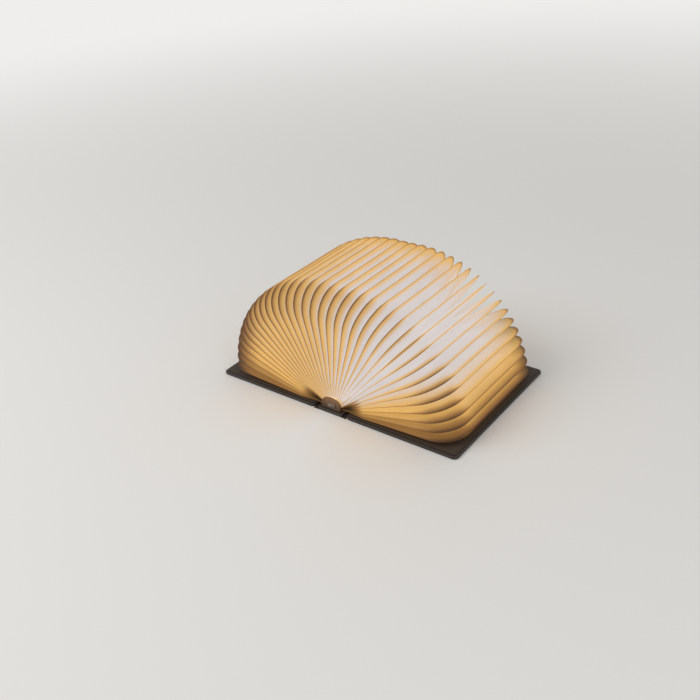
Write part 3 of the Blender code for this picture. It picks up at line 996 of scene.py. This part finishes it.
class BOOKLAMP_OT_core(bpy.types.Operator):
    """Makes the lit bar, the two brown ends and the charging socket, and finishes what lies inside"""

    bl_idname = "booklamp.core"
    bl_label = "Core"

    def execute(self, context):
        settings = context.scene.book_lamp_core
        brown = brown_plastic(settings)
        for name in ("tail", "head"):
            self.add_end(name, brown, settings)
        self.add_lit_bar(settings)
        self.add_bands(settings)
        self.add_socket(settings)
        refinish(brown, "core_tray")
        refinish(circuit_board(), "charge_board", "light_board")
        refinish(light_phosphor(settings), "light_1", "light_2", "light_3", "light_4")
        refinish(battery_foil(), "battery_cell")
        refinish(black_plastic(), "socket_tongue")
        refinish(switch_glass(), "reed_switch")
        return {"FINISHED"}

    def add_end(self, name, finish, settings):
        """An arched end with a raised rim, and a window for the socket in the tail one."""
        node = f"{name}_end_cap"
        low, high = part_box(node)
        mesh = arched_outline(low, high, settings.shoulder)
        edges = list(mesh.edges)
        if name == "tail":
            edges += self.add_window(mesh, low.y, settings)
        bmesh.ops.triangle_fill(mesh, use_beauty=True, edges=edges)
        bmesh.ops.recalc_face_normals(mesh, faces=mesh.faces)
        grown = bmesh.ops.extrude_face_region(mesh, geom=list(mesh.faces))
        bmesh.ops.translate(mesh, verts=only_verts(grown["geom"]), vec=(0.0, high.y - low.y, 0.0))
        bmesh.ops.recalc_face_normals(mesh, faces=mesh.faces)
        outside = low.y if name == "tail" else high.y
        outer = [
            face for face in mesh.faces
            if all(math.isclose(vert.co.y, outside, abs_tol=MM / 100) for vert in face.verts)
        ]
        for width, drop in ((settings.rim, 0.0), (settings.recess / 2, settings.recess)):
            bmesh.ops.inset_region(
                mesh, faces=outer, thickness=width, depth=-drop, use_even_offset=True, use_boundary=True
            )
        dress(new_piece(f"{name}_end", mesh, finish, smooth_to=25.0), "spine", "brown_plastic", node)

    def add_window(self, mesh, y, settings):
        """The loop of the window round the socket shell, with the shell's own rounded corners."""
        half = (SOCKET_HIGH - SOCKET_LOW) / 2 + Vector((CLEARANCE, 0.0, CLEARANCE))
        centre = (SOCKET_HIGH + SOCKET_LOW) / 2
        window = bmesh.new()
        bmesh.ops.create_grid(window, x_segments=1, y_segments=1, size=1.0)
        bmesh.ops.scale(window, verts=window.verts, vec=(half.x, half.z, 1.0))
        bmesh.ops.bevel(
            window, geom=list(window.verts), offset=settings.socket_corner, segments=SOCKET_FACETS,
            profile=0.5, affect="VERTICES", material=-1,
        )
        flat = [loop.vert.co for loop in window.faces[:][0].loops]
        corners = [mesh.verts.new((centre.x + place.x, y, centre.z + place.y)) for place in flat]
        window.free()
        return [mesh.edges.new(pair) for pair in neighbours(corners)]

    def add_lit_bar(self, settings):
        """The milky bar: half an elliptic tube over the lights."""
        mesh = bmesh.new()
        half, rise = (BAR_HIGH.x - BAR_LOW.x) / 2, BAR_HIGH.z - BAR_LOW.z
        add_arch(mesh, half, rise, BAR_LOW.y, BAR_STEPS)
        bmesh.ops.translate(mesh, verts=mesh.verts, vec=(0.0, 0.0, BAR_LOW.z))
        draw_out(mesh, BAR_HIGH.y - BAR_LOW.y)
        if sum(face.normal.z for face in mesh.faces) < 0:
            bmesh.ops.reverse_faces(mesh, faces=mesh.faces)
        thicken(mesh, BAR_WALL)
        dress(new_piece("lit_bar", mesh, milky_plastic(settings)), "spine", "milky_plastic", "light_diffuser")

    def add_bands(self, settings):
        """The paper up both sides of the core and across its foot, which the leaves' roots are glued to."""
        low = Vector((TRAY_LOW.x - BAND_GAP, TRAY_LOW.y, BAND_FOOT))
        high = Vector((TRAY_HIGH.x + BAND_GAP, TRAY_HIGH.y, BAR_HIGH.z + BAND_GAP))
        mesh = arched_outline(low, high, BAR_LOW.z - BAND_FOOT)
        window = TRAY_HIGH.x * BAND_WINDOW
        over_bar = [edge for edge in mesh.edges if max(abs(vert.co.x) for vert in edge.verts) < window]
        bmesh.ops.delete(mesh, geom=over_bar, context="EDGES")
        draw_out(mesh, high.y - low.y)
        thicken(mesh, BAND_WALL)
        piece = new_piece("root_bands", mesh, band_paper(settings))
        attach(piece, "spine")

    def add_socket(self, settings):
        """The socket's drawn shell, with rounded corners and an open mouth."""
        mesh = box_mesh(SOCKET_LOW, SOCKET_HIGH)
        long_edges = [e for e in mesh.edges if abs(e.verts[0].co.y - e.verts[1].co.y) > MM]
        bevel_edges(mesh, long_edges, settings.socket_corner, SOCKET_FACETS)
        mouth = min(mesh.faces, key=lambda face: face.calc_center_median().y)
        bmesh.ops.inset_individual(mesh, faces=[mouth], thickness=SOCKET_WALL, use_even_offset=True)
        grown = bmesh.ops.extrude_discrete_faces(mesh, faces=[mouth])["faces"]
        depth = SOCKET_HIGH.y - SOCKET_LOW.y - SOCKET_WALL
        bmesh.ops.translate(mesh, verts=grown[0].verts, vec=(0.0, depth, 0.0))
        bmesh.ops.recalc_face_normals(mesh, faces=mesh.faces)
        dress(new_piece("charging_socket", mesh, plated_steel()), "spine", "plated_steel", "socket_shell")


# Studio

# The camera holds this point of the lamp at this pixel of the picture
TARGET = Vector((0.0, 0.0, 50 * MM))
TARGET_PIXEL = (376, 332)
PICTURE = 700
SENSOR = 36.0
CLIP_START = 10 * MM
FLOOR_HALF = 6.0
FLOOR_DROP = 0.1 * MM
# The camera sees the floor pass into the sky between these distances from the lamp
FLOOR_HAZE = (0.3, 2.2)
SKY_COLOUR = (1.0, 0.99, 0.97)
SEEN_SKY = 0.86
KEY_PLACE = (-0.75, -0.85, 1.15)
KEY_SIZE = 1.1
FILL_PLACE = (1.2, -0.4, 0.7)
FILL_SIZE = 1.2


class BOOKLAMP_OT_stage(bpy.types.Operator):
    """Sets up the pale floor, the soft lights and the camera"""

    bl_idname = "booklamp.stage"
    bl_label = "Studio"

    def execute(self, context):
        settings = context.scene.book_lamp_stage
        context.scene.view_settings.view_transform = "Standard"
        self.add_floor()
        self.add_sky(context.scene, settings)
        self.add_light("key_light", KEY_PLACE, KEY_SIZE, settings.key)
        self.add_light("fill_light", FILL_PLACE, FILL_SIZE, settings.fill)
        self.add_camera(context.scene, settings)
        return {"FINISHED"}

    def add_floor(self):
        """A pale floor that the camera alone sees pass into the sky's colour far off."""
        mesh = bmesh.new()
        bmesh.ops.create_grid(mesh, x_segments=2, y_segments=2, size=FLOOR_HALF)
        bmesh.ops.translate(mesh, verts=mesh.verts, vec=(0.0, 0.0, -FLOOR_DROP))
        finish = Finish("pale_floor", (0.80, 0.79, 0.77), 0.6)
        length = {"operation": "LENGTH"}
        away = finish.node("ShaderNodeVectorMath", length, {0: finish.coordinates()}, output="Value")
        seen = finish.node("ShaderNodeLightPath", output="Is Camera Ray")
        haze = finish.step(away, *FLOOR_HAZE) * seen
        plain = Value(finish, finish.shader.outputs["BSDF"])
        sky = finish.node("ShaderNodeEmission", inputs={"Color": SKY_COLOUR, "Strength": SEEN_SKY})
        both = finish.node("ShaderNodeMixShader", inputs={0: haze, 1: plain, 2: sky})
        finish.fill(finish.tree.nodes["Material Output"].inputs["Surface"], both)
        new_piece("floor", mesh, finish)

    def add_sky(self, scene, settings):
        """Even light from all round, seen as a pale background by the camera and in reflections."""
        world = bpy.data.worlds.new("studio_sky")
        world.use_nodes = True
        sky = Nodes(world.node_tree)
        seen = 0.0
        for ray in ("Is Camera Ray", "Is Glossy Ray", "Is Transmission Ray"):
            seen = sky.math("MAXIMUM", seen, sky.node("ShaderNodeLightPath", output=ray))
        background = sky.tree.nodes["Background"]
        sky.fill(background.inputs["Color"], SKY_COLOUR)
        sky.fill(background.inputs["Strength"], between(seen, settings.sky, SEEN_SKY))
        scene.world = world

    def add_light(self, name, place, size, power):
        data = bpy.data.lights.new(name, "AREA")
        data.shape = "DISK"
        data.size = size
        data.energy = power
        light = bpy.data.objects.new(name, data)
        light.location = place
        light.rotation_euler = (Vector(place) - TARGET).to_track_quat("Z", "Y").to_euler()
        bpy.context.scene.collection.objects.link(light)

    def add_camera(self, scene, settings):
        """The photograph's viewing angle: the target is held at its own place in the picture."""
        turn, height = settings.azimuth, settings.elevation
        along = math.cos(height)
        back = Vector((math.sin(turn) * along, -math.cos(turn) * along, math.sin(height)))
        level = Vector((0.0, 0.0, 1.0)).cross(back).normalized()
        upward = back.cross(level)
        right = level * math.cos(settings.roll) + upward * math.sin(settings.roll)
        up = upward * math.cos(settings.roll) - level * math.sin(settings.roll)
        pixels = settings.lens / SENSOR * PICTURE
        aside = (TARGET_PIXEL[0] - PICTURE / 2) / pixels * settings.distance
        above = (PICTURE / 2 - TARGET_PIXEL[1]) / pixels * settings.distance
        data = bpy.data.cameras.new("camera")
        data.sensor_width = SENSOR
        data.lens = settings.lens
        data.clip_start = CLIP_START
        camera = bpy.data.objects.new("camera", data)
        place = TARGET + back * settings.distance - right * aside - up * above
        turned = Matrix((right, up, back)).transposed().to_4x4()
        camera.matrix_world = Matrix.Translation(place) @ turned
        scene.collection.objects.link(camera)
        scene.camera = camera


class BOOKLAMP_PT_panel(bpy.types.Panel):
    """Lists the lamp's sizes and colours, and what builds it"""

    bl_idname = "BOOKLAMP_PT_panel"
    bl_label = "Folding book lamp"
    bl_space_type = "VIEW_3D"
    bl_region_type = "UI"
    bl_category = "Book Lamp"

    def draw(self, context):
        for name, group, operator in STEPS:
            box = self.layout.box()
            box.operator(operator.bl_idname)
            for setting in group.__annotations__:
                box.prop(getattr(context.scene, name), setting)


STEPS = (
    ("book_lamp_stage", StageSettings, BOOKLAMP_OT_stage),
    ("book_lamp_cover", CoverSettings, BOOKLAMP_OT_covers),
    ("book_lamp_core", CoreSettings, BOOKLAMP_OT_core),
    ("book_lamp_leaves", LeafSettings, BOOKLAMP_OT_leaves),
)


def register():
    for name, group, operator in STEPS:
        bpy.utils.register_class(group)
        setattr(bpy.types.Scene, name, PointerProperty(type=group))
        bpy.utils.register_class(operator)
    bpy.utils.register_class(BOOKLAMP_PT_panel)


def unregister():
    bpy.utils.unregister_class(BOOKLAMP_PT_panel)
    for name, group, operator in reversed(STEPS):
        bpy.utils.unregister_class(operator)
        delattr(bpy.types.Scene, name)
        bpy.utils.unregister_class(group)


def main():
    register()
    for item in list(bpy.data.objects):
        if item.type in {"LIGHT", "CAMERA"}:
            bpy.data.objects.remove(item)
    bpy.ops.booklamp.stage()
    bpy.ops.booklamp.covers()
    bpy.ops.booklamp.core()
    bpy.ops.booklamp.leaves()


if __name__ == "__main__":
    main()
